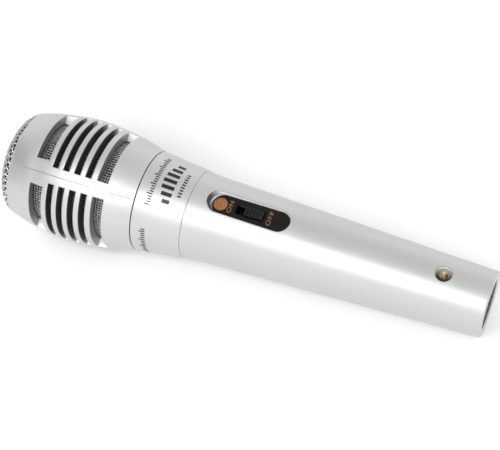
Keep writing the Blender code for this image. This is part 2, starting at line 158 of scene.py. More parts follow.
class Finish(Nodes):
    """A Principled material with its procedural detail."""

    def __init__(self, name, color, roughness, metallic=0.0, **sockets):
        self.mat = bpy.data.materials.new(name)
        self.mat.use_nodes = True
        super().__init__(self.mat.node_tree)
        self.shader = self.tree.nodes["Principled BSDF"]
        self.coords = self.add("TexCoord", "Object")
        values = {"Base_Color": (*color, 1), "Roughness": roughness, "Metallic": metallic, **sockets}
        for key, value in values.items():
            self.shader.inputs[key.replace("_", " ")].default_value = value
        self.mat.diffuse_color = (*color, 1)

    def in_frame(self, scale=(MM, MM, MM)):
        """The point being shaded, in the microphone's own frame."""
        place = {"Location": MIC.translation, "Rotation": MIC.to_euler(), "Scale": scale}
        return self.add("Mapping", "Vector", {"Vector": self.coords, **place}, vector_type="TEXTURE")

    def noise(self, per_mm, detail=3.0, stretch=(1, 1, 1), rough=0.55):
        """Noise with this many cells to a millimetre, in the microphone's own frame."""
        point = self.in_frame([MM / (per_mm * s) for s in stretch])
        return self.add("TexNoise", "Fac",
                        {"Vector": point, "Scale": 1.0, "Detail": detail, "Roughness": rough})

    def part_of(self, axis):
        """How far along one axis of the microphone's frame the point lies, in mm."""
        return self.add("SeparateXYZ", axis, {"Vector": self.in_frame()})

    def across(self):
        """How far across the switch's side the point lies, in mm."""
        return self.part_of("Y")

    def from_seam(self):
        """Angle round the head from the nearer of two opposite seams, in radians."""
        angle = self.sums("ARCTAN2", self.part_of("Y"), self.part_of("X"))
        turned = self.sums("ADD", angle, 2.5 * pi + pi / SLOT_GROUPS - CAGE_TURN)
        away = self.sums("SUBTRACT", self.sums("MODULO", turned, pi), pi / 2)
        return self.sums("ABSOLUTE", away, 0.0)

    def facing_head(self):
        """1 where the surface faces the head, -1 where it faces the tail."""
        ends = {0: self.coords.node.outputs["Normal"], 1: AXIS}
        return self.add("VectorMath", "Value", ends, operation="DOT_PRODUCT")

    def blend(self, value, dark, light, start=0.35, stop=0.65):
        """Base colour from dark to light along a value."""
        ramp = self.tree.nodes.new("ShaderNodeValToRGB")
        for end, position, color in ((0, start, dark), (1, stop, light)):
            ramp.color_ramp.elements[end].position = position
            ramp.color_ramp.elements[end].color = (*color, 1)
        self.tree.links.new(value, ramp.inputs["Fac"])
        self.tree.links.new(ramp.outputs["Color"], self.shader.inputs["Base Color"])

    def roughness(self, value, low, high):
        self.tree.links.new(self.between(value, low, high), self.shader.inputs["Roughness"])

    def bump(self, *layers):
        """Bump from (value, depth in mm) layers, one over another; returns the finished material."""
        normal = None
        for value, depth in layers:
            below = {} if normal is None else {"Normal": normal}
            normal = self.add("Bump", "Normal",
                              {"Strength": 1.0, "Distance": depth * MM, "Height": value, **below})
        self.tree.links.new(normal, self.shader.inputs["Normal"])
        return self.mat


def tint(color, factor):
    return tuple(min(1.0, c * factor) for c in color)


def silver_paint(name, color, metallic=0.55):
    """Satin silver paint: fine metallic flake over a faint orange peel, with soft handling marks."""
    look = Finish(name, color, 0.4, metallic, Coat_Weight=0.15, Coat_Roughness=0.3)
    flake = look.noise(5.0, 2.0, rough=0.7)
    peel = look.noise(0.9, 2.0)
    marks = look.noise(0.12, 4.0)
    look.blend(flake, tint(color, 0.9), tint(color, 1.08), 0.3, 0.7)
    look.roughness(marks, 0.36, 0.45)
    return look.bump((flake, 0.006), (peel, 0.012))


def plastic(name, color, roughness, grain=2.0, depth=0.012, **sockets):
    """Moulded plastic with a spark-eroded grain and slight unevenness in its gloss."""
    look = Finish(name, color, roughness, **sockets)
    fine = look.noise(grain, 3.0)
    broad = look.noise(0.2, 3.0)
    look.blend(broad, tint(color, 0.8), tint(color, 1.25))
    look.roughness(broad, roughness * 0.85, roughness * 1.15)
    return look.bump((fine, depth))


def speckled(name, dark, light, roughness, grain, depth):
    """Plastic whose colour is broken up by a coarse speckle, such as overspray or worn print."""
    look = Finish(name, light, roughness, Specular_IOR_Level=0.35)
    specks = look.noise(grain, 3.0, rough=0.7)
    look.blend(specks, dark, light, 0.36, 0.6)
    look.roughness(specks, roughness * 0.85, roughness * 1.2)
    return look.bump((specks, depth))


def graded(name, first, last, measure, start, stop, metallic=0.0):
    """A surface that runs smoothly from one colour to another along a measure of its place."""
    look = Finish(name, last, 0.55, metallic, Specular_IOR_Level=0.35)
    look.blend(look.between(measure(look), 0.0, 1.0, start, stop), first, last, 0.0, 1.0)
    grain = look.noise(1.5)
    look.roughness(grain, 0.48, 0.62)
    return look.bump((grain, 0.02))


def metal(name, color, roughness, stretch=(1, 1, 1), grain=3.0, depth=0.006, stain=0.75):
    """Bare or plated metal: tool marks along its stretch, and a faint tarnish."""
    look = Finish(name, color, roughness, 1.0)
    lines = look.noise(grain, 4.0, stretch)
    tarnish = look.noise(0.25, 4.0)
    look.blend(tarnish, tint(color, stain), color, 0.3, 0.6)
    look.roughness(lines, roughness * 0.75, roughness * 1.3)
    return look.bump((lines, depth))


def soft(name, color, cell, depth):
    """Foam or rubber: open cells or a matt skin."""
    look = Finish(name, color, 0.9, 0.0, Specular_IOR_Level=0.25)
    cells = look.noise(cell, 2.0)
    broad = look.noise(0.3, 3.0)
    look.blend(cells, tint(color, 0.35), tint(color, 1.5), 0.4, 0.62)
    look.roughness(broad, 0.82, 0.98)
    return look.bump((cells, depth))


SILVER = (0.5, 0.497, 0.491)
LATHE = (0.04, 0.04, 1.0)
LATHE_LYING = (1.0, 0.04, 0.04)
PAINT = silver_paint("silver_paint", SILVER)
HEAD_PAINT = silver_paint("head_silver_paint", (0.495, 0.5, 0.502))
BLACK = plastic("black_plate", (0.007, 0.006, 0.005), 0.38, Specular_IOR_Level=0.16)
KNOB = plastic("knob_black", (0.008, 0.007, 0.007), 0.34, Specular_IOR_Level=0.28)
INSERT_BLACK = plastic("insert_black", (0.02, 0.02, 0.021), 0.5, 1.5, 0.02)
ORANGE = speckled("indicator_orange", (0.13, 0.055, 0.018), (0.34, 0.145, 0.045), 0.45, 1.5, 0.04)
ORANGE_INK = plastic("orange_ink", (0.23, 0.115, 0.07), 0.55, 3.0, 0.004, Specular_IOR_Level=0.3)
DARK_INK = plastic("dark_ink", (0.008, 0.007, 0.006), 0.36, 3.0, 0.004, Specular_IOR_Level=0.45)
WIRE = metal("mesh_wire", (0.66, 0.66, 0.65), 0.32, grain=1.2)
SLEEVE_WIRE = metal("sleeve_wire", (0.54, 0.525, 0.51), 0.3, grain=1.2)
# Painted shade on the narrow slots' walls: dark in their middles, lighter at the ends farthest from two opposite
# seams.
NARROW_SLOT_SHADE = graded("narrow_slot_painted_shade", (0.04, 0.035, 0.033), (0.42, 0.42, 0.415), Finish.from_seam,
                   radians(70.5), radians(83.5))
NICKEL = metal("nickel_plate", (0.72, 0.66, 0.56), 0.2, grain=2.0)
SCREW_PLATE = metal("yellowed_nickel", (0.68, 0.57, 0.43), 0.2, grain=1.4, depth=0.05, stain=0.2)
PIN_METAL = metal("pin_plate", (0.78, 0.75, 0.68), 0.16, LATHE)
NECK_METAL = metal("neck_steel", (0.55, 0.55, 0.56), 0.28, LATHE)
STEEL = metal("plain_steel", (0.5, 0.5, 0.52), 0.35, LATHE_LYING)
BRASS = metal("turned_brass", (0.75, 0.56, 0.24), 0.26, LATHE)
RUBBER = soft("black_rubber", (0.018, 0.018, 0.019), 4.0, 0.01)
FOAM = soft("black_foam", (0.02, 0.019, 0.018), 2.2, 0.25)
COPPER = metal("coil_winding", (0.75, 0.33, 0.16), 0.25, (4.0, 0.05, 0.05), 4.0, 0.03)
SINTERED = metal("sintered_magnet", (0.24, 0.24, 0.25), 0.5, grain=4.0, depth=0.02)
FILM = plastic("diaphragm_film", (0.7, 0.68, 0.6), 0.18, 0.8, 0.01, Coat_Weight=0.4)
BASKET = plastic("capsule_plastic", (0.022, 0.022, 0.024), 0.45)
BASKET_SLIDER = plastic("slider_plastic", (0.015, 0.015, 0.016), 0.5)
BARE = speckled("bare_casting", (0.03, 0.028, 0.026), (0.24, 0.235, 0.225), 0.5, 0.7, 0.06)
# Painted shade: darker silver on the wide slots' walls.
WIDE_SLOT_SHADE = silver_paint("painted_shade_silver", (0.25, 0.249, 0.246))
# Painted shade and highlight on the switch recess's walls: dark where they face the tail, light elsewhere.
LIT_AND_SHADED_WALLS = graded("painted_light_shade_wall", (0.07, 0.072, 0.078), (0.86, 0.86, 0.86), Finish.facing_head,
                     -0.95, -0.15)
# Painted shade and highlight on the switch recess's floor: dark on one side of the switch, light on the other.
LIT_AND_SHADED_FLOOR = graded("painted_light_shade_floor", (0.16, 0.165, 0.175), (0.8, 0.8, 0.8), Finish.across, -1.5, 3.0)
# Painted highlight: near-white silver on the slots' end walls and the screw hole's wall.
HIGHLIGHT_PAINT = silver_paint("painted_highlight_silver", (0.86, 0.86, 0.86), 0.2)
# Painted shade: a dark line along the edges of the switch's recess and the screw's hole.
EDGE_SHADE = speckled("painted_edge_shade", (0.05, 0.05, 0.052), (0.12, 0.122, 0.13), 0.5, 4.0, 0.01)
DARK_STEEL = metal("blackened_steel", (0.035, 0.033, 0.032), 0.5, grain=2.0)
# Painted shade on the rim of the screw's head: dark on its lower side, fading to the plating's colour across it.
SCREW_HEAD_SHADE = graded("screw_head_painted_shade", (0.035, 0.03, 0.025), (0.5, 0.43, 0.33), Finish.across, -1.4, 2.4, 0.8)
RED_WIRE = plastic("red_insulation", (0.5, 0.02, 0.015), 0.4)
BLACK_WIRE = plastic("black_insulation", (0.015, 0.015, 0.016), 0.4)

RECORD_SLOTS = {
    "silver_paint": (PAINT, HEAD_PAINT),
    "black_plastic": (BLACK, INSERT_BLACK, DARK_INK),
    "knob_plastic": (KNOB,),
    "orange_mark": (ORANGE, ORANGE_INK),
    "wire_mesh": (WIRE, SLEEVE_WIRE),
    "nickel": (SCREW_PLATE, PIN_METAL),
    "steel": (NECK_METAL,),
    "rubber": (RUBBER,),
    "foam": (FOAM,),
}


# ---- building blocks ----
PIECES = []


def linked(name, data):
    """A new object in the scene."""
    obj = bpy.data.objects.new(name, data)
    bpy.context.scene.collection.objects.link(obj)
    return obj


def edit_mesh(mesh, edit):
    """Runs an edit on a mesh's bmesh."""
    bm = bmesh.new()
    bm.from_mesh(mesh)
    edit(bm)
    bm.to_mesh(mesh)
    bm.free()
    return mesh


def outwards(bm):
    bmesh.ops.recalc_face_normals(bm, faces=bm.faces)


def merge(bm):
    bmesh.ops.remove_doubles(bm, verts=bm.verts, dist=1e-7)


def new_mesh(name, verts, faces, edit):
    """A mesh whose verts are given in millimetres."""
    mesh = bpy.data.meshes.new(name)
    mesh.from_pydata([Vector(v) * MM for v in verts], [], faces)
    return edit_mesh(mesh, edit)


def add_piece(name, verts, faces, mat, body, replaced=(), place=MIC, sharp=38.0):
    """A mesh given in millimetres in the frame of place, that will ride on a body."""
    def clean(bm):
        merge(bm)
        outwards(bm)

    obj = linked(name, new_mesh(name, verts, faces, clean))
    return finish_piece(obj, mat, body, replaced, place, sharp)


def finish_piece(obj, mat, body, replaced, place, sharp=38.0):
    obj.data.materials.clear()
    obj.data.materials.append(mat)
    obj.matrix_world = place
    obj.data.shade_smooth()
    obj.data.set_sharp_from_angle(angle=radians(sharp))
    PIECES.append((obj, place, body, replaced))
    return obj


def seat_pieces():
    """Puts every piece's place into its mesh, as the CAD nodes have it, and hangs it on its body."""
    for obj, place, body, replaced in PIECES:
        obj.data.transform(place)
        obj.matrix_world = Matrix.Identity(4)
        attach(obj, body)
        next(slot for slot, looks in RECORD_SLOTS.items() if obj.data.materials[0] in looks)
        if replaced:
            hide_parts(*replaced)


def rounded(corners, closed=True, steps=4):
    """Profile of (radius, height) from (r, z, fillet radius) corners."""
    points = []
    count = len(corners)
    for i, (r, z, fillet) in enumerate(corners):
        if fillet <= 0 or (not closed and i in (0, count - 1)):
            points.append((r, z))
            continue
        here = Vector((r, z))
        back = Vector(corners[i - 1][:2]) - here
        on = Vector(corners[(i + 1) % count][:2]) - here
        half = back.angle(on) / 2
        reach = min(fillet / tan(half), back.length * 0.49, on.length * 0.49)
        radius = reach * tan(half)
        middle = here + (back.normalized() + on.normalized()).normalized() * (radius / sin(half))
        start = here + back.normalized() * reach - middle
        stop = here + on.normalized() * reach - middle
        sweep = start.angle_signed(stop)
        for k in range(steps + 1):
            turned = start.copy()
            turned.rotate(Matrix.Rotation(-sweep * k / steps, 2))
            points.append(tuple(middle + turned))
    return points


def ring_faces(rows, width, closed=True):
    """Faces that join rings of width points, and the last ring to the first if closed."""
    return [(i * width + j, i * width + (j + 1) % width,
             (i + 1) % rows * width + (j + 1) % width, (i + 1) % rows * width + j)
            for i in range(rows if closed else rows - 1) for j in range(width)]


def revolve(profile, steps=STEPS, closed=True):
    """(verts, faces) of a profile of (radius, height) turned about Z."""
    verts = [(r * cos(2 * pi * j / steps), r * sin(2 * pi * j / steps), z)
             for r, z in profile for j in range(steps)]
    return verts, ring_faces(len(profile), steps, closed)


def turned_piece(name, corners, mat, body, replaced=(), closed=True, steps=96, **more):
    return add_piece(name, *revolve(rounded(corners, closed), steps, closed), mat, body, replaced, **more)


def smooth_curve(points):
    """A function through (value, at) points whose slope runs on smoothly from span to span."""
    slopes = []
    for i in range(len(points)):
        low, high = points[max(0, i - 1)], points[min(len(points) - 1, i + 1)]
        slopes.append((high[0] - low[0]) / (high[1] - low[1]))

    def value(at):
        at = min(max(at, points[0][1]), points[-1][1])
        i = next(k for k in range(len(points) - 1) if at <= points[k + 1][1])
        width = points[i + 1][1] - points[i][1]
        t = (at - points[i][1]) / width
        return ((1 + 2 * t) * (1 - t) ** 2 * points[i][0] + t * (1 - t) ** 2 * width * slopes[i]
                + t * t * (3 - 2 * t) * points[i + 1][0] - t * t * (1 - t) * width * slopes[i + 1])

    return value


def tubes(paths, radius, sides, closed=False):
    """(verts, faces) of round wires along paths of (point, outward normal)."""
    verts, faces = [], []
    for path in paths:
        base, count = len(verts), len(path)
        for i, (point, normal) in enumerate(path):
            before = path[i - 1][0] if closed or i else point
            after = path[(i + 1) % count][0] if closed or i < count - 1 else point
            along = (after - before).normalized()
            side = along.cross(normal).normalized()
            lift = side.cross(along)
            for k in range(sides):
                a = 2 * pi * k / sides
                verts.append(point + (lift * cos(a) + side * sin(a)) * radius)
        faces += [tuple(base + v for v in face) for face in ring_faces(count, sides, closed)]
        if not closed:
            faces.append(tuple(base + k for k in range(sides)))
            faces.append(tuple(base + (count - 1) * sides + k for k in range(sides))[::-1])
    return verts, faces


def evaluated_mesh(obj):
    bpy.context.view_layer.update()
    return bpy.data.meshes.new_from_object(obj.evaluated_get(bpy.context.evaluated_depsgraph_get()))


def modify(obj, kind, **settings):
    """Adds a modifier and applies it at once."""
    put(obj.modifiers.new(kind, kind), **settings)
    mesh = evaluated_mesh(obj)
    obj.modifiers.clear()
    obj.data = mesh


def cut_away(obj, verts, faces):
    """Cuts a closed solid, in the object's own millimetre frame, out of an object."""
    cutter = linked("cutter", new_mesh("cutter", verts, faces, outwards))
    cutter.matrix_world = obj.matrix_world
    modify(obj, "BOOLEAN", operation="DIFFERENCE", solver="EXACT", object=cutter)
    bpy.data.objects.remove(cutter)


def paint(obj, looks, choose):
    """Gives each face the look that choose(centre in mm, normal) returns, unless that is None."""
    for look in looks:
        obj.data.materials.append(look)
    for face in obj.data.polygons:
        look = choose(face.center / MM, face.normal)
        if look:
            face.material_index = obj.data.materials.find(look.name)


def between_loops(count):
    """Faces of a closed solid: count points, then the same loop moved on."""
    faces = [tuple(range(count))[::-1], tuple(range(count, 2 * count))]
    return faces + [(i, (i + 1) % count, count + (i + 1) % count, count + i) for i in range(count)]


def prism(outline, low, high):
    """(verts, faces) of an outline of (y, z) points carried along X."""
    return [(x, y, z) for x in (low, high) for y, z in outline], between_loops(len(outline))


def box_outline(width, length, centre=0.0):
    w, h = width / 2, length / 2
    return [(-w, centre - h), (w, centre - h), (w, centre + h), (-w, centre + h)]


def circle(radius, steps, centre=(0.0, 0.0)):
    return [(centre[0] + radius * cos(2 * pi * i / steps), centre[1] + radius * sin(2 * pi * i / steps))
            for i in range(steps)]


def stadium(width, length, centre=0.0, steps=24):
    radius = width / 2
    reach = length / 2 - radius
    return [(end * radius * cos(pi * i / steps), centre + end * (reach + radius * sin(pi * i / steps)))
            for end in (1, -1) for i in range(steps + 1)]


# ---- handle with its sunk switch plate and screw ----
def handle_r(z):
    """Outer radius of the handle: a straight taper that flares at the top."""
    straight = TAIL_R + CONE_SLOPE * z
    return SNUG * (straight + FLARE * exp((z - HANDLE_TOP + 0.2) / FLARE_REACH))


class Recess:
    """A round-ended pocket sunk in the handle, blended into the handle's grid of faces."""

    def __init__(self, place, reach, radius, floor, lip, rows, columns, ramp=0.0):
        self.place, self.reach, self.radius, self.ramp = place, reach, radius, ramp
        self.floor, self.lip, self.rows, self.columns = floor, lip, rows, columns

    def holds(self, row, column):
        """Whether a cell of the handle's grid is given up to the pocket."""
        column = (column + STEPS // 2) % STEPS - STEPS // 2
        return self.rows[0] <= row < self.rows[1] and -self.columns <= column < self.columns

    def border(self):
        """Grid corners round the pocket as (row, column), in order."""
        low, high = self.rows
        side = self.columns
        loop = [(low, c) for c in range(-side, side)]
        loop += [(r, side) for r in range(low, high)]
        loop += [(high, c) for c in range(side, -side, -1)]
        loop += [(r, -side) for r in range(high, low, -1)]
        return loop

    def surface(self, y, z):
        """Height of the handle's surface over (y, z) of the pocket's frame."""
        x = 0.0
        for _ in range(8):
            p = self.place @ Vector((x, y, z))
            x -= hypot(p.x, p.y) - handle_r(p.z)
        return x

    def point(self, y, z, depth=0.0):
        """A point this far under the handle's surface."""
        return self.place @ Vector((self.surface(y, z) - depth, y, z))

    def rim(self, y, z, offset, pull=0.0):
        """The point of the outline nearest (y, z), moved outwards; pull draws its head end in."""
        middle = min(max(z, -self.reach), self.reach - pull)
        away = Vector((y, z - middle)).normalized() * (self.radius + offset)
        return away.x, middle + away.y

    def loops(self, border_points):
        inverse = self.place.inverted()
        flat = [(inverse @ Vector(p)).yz for p in border_points]
        starts = [self.rim(y, z, self.lip) for y, z in flat]
        for t in (0.3, 0.55, 0.75, 0.9):
            blend = [(y + (a - y) * t, z + (b - z) * t) for (y, z), (a, b) in zip(flat, starts)]
            yield [self.point(y, z) for y, z in blend]
        for k in range(6):
            a = pi / 2 * k / 5
            offset, depth = self.lip * (1 - sin(a)), self.lip * (1 - cos(a))
            yield [self.point(*self.rim(y, z, offset), depth) for y, z in flat]
        for share in (0.12, 0.5, 0.88, 1.0):
            loop = []
            for y, z in flat:
                a, b = self.rim(y, z, -0.04 * share, self.ramp * share)
                top = self.surface(*self.rim(y, z, 0.0)) - self.lip
                loop.append(self.place @ Vector((top + (self.floor - top) * share, a, b)))
            yield loop
        for offset in (-0.3, -1.2):
            yield [self.place @ Vector((self.floor, *self.rim(y, z, offset, self.ramp))) for y, z in flat]


def recess_look(at, way):
    """The switch's recess: painted shade along its edge, and painted shade and highlight on its walls and floor.
    """
    half = PLATE_WIDTH / 2
    outside = hypot(at.y, max(abs(at.z) - PLATE_LENGTH / 2 + half, 0)) - half
    if at.x < -2.35 or outside > 0.32 or abs(at.y) > half + 0.3:
        return None
    if outside > 0.02 and at.y > -2.5 and way.x < 0.85:
        return EDGE_SHADE
    if outside <= 0.02 and way.x < 0.5 and (way.z < -0.1 or way.y < -0.4):
        return LIT_AND_SHADED_WALLS
    if at.x < -2.2 and at.z > PLATE_LENGTH / 2 - PLATE_SHORT - 3.0:
        return LIT_AND_SHADED_FLOOR
    return None


def build_handle():
    rows = 98
    top, bottom = HANDLE_TOP - 0.15, 0.9
    heights = [top - (top - bottom) * i / rows for i in range(rows + 1)]
    profile = [(handle_r(z), z) for z in heights]
    tail = [(handle_r(0.9), 0.9, 0), (handle_r(0.0), 0.0, 0.75), (SOCKET_R, 0.0, 0.45),
            (SOCKET_R, SOCKET_DEPTH, 0.1), (INSERT_SEAT_R, SOCKET_DEPTH, 0.1),
            (INSERT_SEAT_R, 27.0, 0.3), (12.2, 30.0, 0.5), (13.4, 62.0, 0), (NECK_BORE_R, 100.0, 0),
            (NECK_BORE_R, HANDLE_TOP, 0.2), (handle_r(HANDLE_TOP), HANDLE_TOP, 0.1),
            (handle_r(top), top, 0)]
    profile += rounded(tail, closed=False)[1:-1]
    verts, faces = revolve(profile)

    def row_at(z):
        return round((top - z) / (top - bottom) * rows)

    switch_place = Matrix.Translation((SWITCH_X, 0, SWITCH_Z))
    screw_place = Matrix.Translation((TAIL_R + CONE_SLOPE * SCREW_Z, 0, SCREW_Z))
    plate_r = PLATE_WIDTH / 2
    pockets = [Recess(switch_place, PLATE_LENGTH / 2 - plate_r, plate_r, -2.3, 0.3,
                      (row_at(125.0), row_at(81.0)), 15, 0.4),
               Recess(screw_place, 0.0, SCREW_HOLE_R, SCREW_SEAT_X - screw_place.translation.x, 0.25,
                      (row_at(25.8), row_at(13.8)), 12)]
    kept = []
    for index, face in enumerate(faces):
        row, column = divmod(index, STEPS)
        if not any(pocket.holds(row, column) for pocket in pockets):
            kept.append(face)
    for pocket in pockets:
        ring = [r * STEPS + c % STEPS for r, c in pocket.border()]
        count = len(ring)
        for loop in pocket.loops([verts[i] for i in ring]):
            base = len(verts)
            verts += [tuple(p) for p in loop]
            fresh = list(range(base, base + count))
            kept += [(ring[i], ring[(i + 1) % count], fresh[(i + 1) % count], fresh[i])
                     for i in range(count)]
            ring = fresh
        kept.append(tuple(ring))
    handle = add_piece("handle", verts, kept, PAINT, "handle", ["handle_shell"])
    window = KNOB_TRAVEL + 10.0
    outline = box_outline(5.6, window, SLOT_CENTRE)
    block, sides = prism(outline, -6.0, -1.9)
    cut_away(handle, [switch_place @ Vector(v) for v in block], sides)
    cut_away(handle, *prism(circle(1.65, 24, (0.0, SCREW_Z)), 8.0, 12.8))
    inverse = switch_place.inverted()
    turn = inverse.to_3x3()

    def handle_look(centre, normal):
        """Bare metal in the bore, a painted highlight on the screw hole's wall with painted shade on its edge, and
        the recess's painted shade and highlight.
        """
        x, y, z = centre
        r = hypot(x, y)
        if z > 0.5 and r < (11.5 if z < 28 else NECK_BORE_R + 0.1):
            return BARE
        if x > SCREW_SEAT_X + 0.2 and hypot(y, z - SCREW_Z) < SCREW_HOLE_R + 0.22 and normal.x < 0.93:
            return EDGE_SHADE if r > handle_r(z) - 0.3 else HIGHLIGHT_PAINT
        return recess_look(inverse @ centre, turn @ normal)

    paint(handle, (BARE, EDGE_SHADE, LIT_AND_SHADED_WALLS, LIT_AND_SHADED_FLOOR, HIGHLIGHT_PAINT), handle_look)


build_handle()
COLLAR_TOP = GASKET_Z[0] - 0.05
turned_piece("collar",
             [(SNUG * COLLAR[1][0], COLLAR_TOP, 0.15), (SNUG * COLLAR[0][0], COLLAR[0][1] - 0.15, 0.1),
              (COLLAR_BORE_R, COLLAR[0][1], 0.2), (COLLAR_BORE_R, COLLAR_TOP, 0.2)],
             PAINT, "handle", ["collar_ring"], steps=STEPS)
GASKET_R = (21.5, 17.65)
turned_piece("gasket",
             [(GASKET_R[0], GASKET_Z[1], 0.1), (GASKET_R[0], GASKET_Z[0], 0.1),
              (GASKET_R[1], GASKET_Z[0], 0.1), (GASKET_R[1], GASKET_Z[1], 0.1)],
             RUBBER, "thread", ["head_gasket"], steps=STEPS)


def collar_marks():
    """Plain printed marks round the collar: a row of bars like a level meter, between fine ticks."""
    marks = []
    for i in range(7):
        height = 2.6 + 3.2 * sin(pi * (i + 0.5) / 7)
        marks.append((135.2, 135.2 + height, -25.0 + 8.6 * i, -20.2 + 8.6 * i))
    for start, stop, low, high in ((-31.0, 36.0, 142.9, 145.4), (-128.0, -62.0, 143.0, 145.6)):
        count = round((stop - start) / 3.1)
        for i in range(count + 1):
            at = start + (stop - start) * i / count
            marks.append((low, high if i % 4 == 0 else high - 0.9, at - 0.75, at + 0.75))
    for i in range(9):
        marks.append((131.4, 133.0, -13.0 + 4.0 * i, -10.9 + 4.0 * i))
    verts, faces = [], []
    for low, high, start, stop in marks:
        base, columns = len(verts), max(1, round((stop - start) / 1.2))
        for lift in (-0.03, INK):
            for z in (low, high):
                r = SNUG * (COLLAR[0][0] + (z - COLLAR[0][1]) * COLLAR_SLOPE) + lift
                angles = [radians(start + (stop - start) * k / columns) for k in range(columns + 1)]
                verts += [(r * cos(a), r * sin(a), z) for a in angles]
        row = columns + 1
        for layer in (base, base + 2 * row):
            faces += [(k, k + 1, row + k + 1, row + k) for k in range(layer, layer + columns)]
        loop = [*range(base, base + row), *range(base + 2 * row - 1, base + row - 1, -1)]
        faces += [(v, n, n + 2 * row, v + 2 * row) for v, n in zip(loop, loop[1:] + loop[:1])]
    return verts, faces


add_piece("collar_marks", *collar_marks(), DARK_INK, "handle")

THREAD_PITCH = 2.0
THREAD_CREST_R = 17.1
THREAD_DEPTH = 0.6
THREAD_Z = (149.4, 156.9)


def thread_r(z, angle):
    """Radius of the right-hand thread, run out at both ends."""
    phase = (z / THREAD_PITCH - angle / (2 * pi)) % 1.0
    ridge = min(1.0, 1.7 * (1 - abs(2 * phase - 1)))
    fade = max(0.0, min(1.0, (THREAD_Z[1] - z) / 0.9, (z - THREAD_Z[0]) / 0.6))
    return THREAD_CREST_R - THREAD_DEPTH * (1 - ridge * fade)


def build_neck():
    """Neck tube with the thread that the head screws on to."""
    rows = 72
    thread = [THREAD_Z[1] - (THREAD_Z[1] - THREAD_Z[0]) * i / rows for i in range(rows + 1)]
    plain = [(16.6, 149.2), (16.6, 128.5), (16.4, 128.3), (14.0, 128.3), (14.0, 112.7), (13.8, 112.5),
             (12.4, 112.5), (12.4, 157.0), (16.3, 157.0)]
    verts, faces = revolve([(0.0, z) for z in thread] + plain, 96)
    for i, z in enumerate(thread):
        for j in range(96):
            angle = 2 * pi * j / 96
            r = thread_r(z, angle)
            verts[i * 96 + j] = (r * cos(angle), r * sin(angle), z)
    add_piece("threaded_neck", verts, faces, NECK_METAL, "handle", ["neck_tube"], sharp=60)


build_neck()

# ---- slotted cage ----
outer_r = smooth_curve([(r * SNUG, z) for r, z in CAGE_OUTER])
SIDE_COLUMNS = 5
SLOT_COLUMNS = 30
GROOVE_HALF = 0.15
GROOVE_DEPTH = 0.3
GROOVE_Z = (150.0, 199.0)
# How deep under the cage's skin the slots' painted shade and highlight begin, in mm.
SHADE_START_DEPTH = 0.3


def slot_angle(z):
    """Half angle of the slots at a height, eased from one slot to the next over the rib."""
    if z <= SLOTS[0][1]:
        return SLOTS[0][2]
    for (_, end, angle), (start, stop, next_angle) in zip(SLOTS, SLOTS[1:]):
        if z < start:
            return angle + (next_angle - angle) * (z - end) / (start - end)
        if z <= stop:
            return next_angle
    return SLOTS[-1][2]


def cage_heights():
    """Heights of the cage's rows between its seat and its lip, with one on each slot's edge."""
    edges = sorted([160.0, 198.6] + [z for low, high, _ in SLOTS for z in (low, high)] + [CAGE_LIP_Z])
    rows = []
    for low, high in zip(edges, edges[1:]):
        count = max(2, round((high - low) / 1.3))
        rows += [low + (high - low) * i / count for i in range(count)]
    return rows + [edges[-1]]


def cage_columns():
    """Columns of one slot group: (kind, share), kind being seam, groove, side or slot."""
    side = [("side", i / SIDE_COLUMNS) for i in range(1, SIDE_COLUMNS)]
    slot = [("slot", -1 + 2 * i / SLOT_COLUMNS) for i in range(SLOT_COLUMNS + 1)]
    left = [("seam", -1), ("groove", -1)] + [(kind, -share) for kind, share in side]
    return left + slot + [(kind, share) for kind, share in side[::-1]] + [("groove", 1)]


def column_angle(kind, share, end):
    """Angle of a column from the middle of its slot group, the slot ending at an angle."""
    edge = pi / SLOT_GROUPS
    groove = edge - GROOVE_HALF / CAGE_OUTER[5][0]
    if kind == "side":
        return (1 if share > 0 else -1) * (groove + (end - groove) * abs(share))
    return share * {"seam": edge, "groove": groove, "slot": end}[kind]


def cage_profile():
    """Rows of the cage as (radius, height, side), side naming the rows that slots pass through."""
    foot = CAGE_OUTER[0][0] * SNUG
    rows = [(foot - 0.15, 149.7, ""), (foot - 0.04, 149.74, ""), (foot, 149.85, "")]
    rows += [(outer_r(z), z, "") for z in (150.6, 152.0, 153.3, 154.7, 156.0, 157.3, 158.6)]
    heights = cage_heights()
    rows += [(outer_r(z), z, "outer") for z in heights]
    middle, half = (outer_r(CAGE_LIP_Z) + CAGE_MOUTH_R) / 2, (outer_r(CAGE_LIP_Z) - CAGE_MOUTH_R) / 2
    crown = CAGE_LIP_Z + LIP_HEIGHT
    rows += [(middle + half * cos(pi * i / 8), crown + half * sin(pi * i / 8), "") for i in range(9)]
    rows += [(CAGE_MOUTH_R, z, "") for z in heights[::-1] if z > 198.65]
    rows += [(CAGE_MOUTH_R, 198.6, ""), (CAGE_WALL_R, CAGE_LEDGE_Z, "")]
    rows += [(CAGE_WALL_R, z, "inner") for z in heights[::-1] if z < 198.55]
    return rows + [(CAGE_WALL_R, 158.0, ""), (19.1, 158.0, ""), (19.1, 149.7, "")]


def slot_look(centre, normal):
    """Painted highlight on the slots' ends and painted shade on the wide ones' walls. The narrow ones'
    walls get a darker painted shade, which its graded material lightens far from two opposite seams."""
    x, y, z = centre
    radius = hypot(x, y)
    if not SLOTS[0][0] - 0.3 < z < SLOTS[-1][1] + 0.3 or radius > outer_r(z) - SHADE_START_DEPTH:
        return None
    if abs(normal.z) > 0.9:
        return NARROW_SLOT_SHADE if SLOTS[1][0] - 0.3 < z < SLOTS[-2][1] + 0.3 else WIDE_SLOT_SHADE
    return HIGHLIGHT_PAINT if abs(normal.x * y - normal.y * x) > 0.9 * radius else None


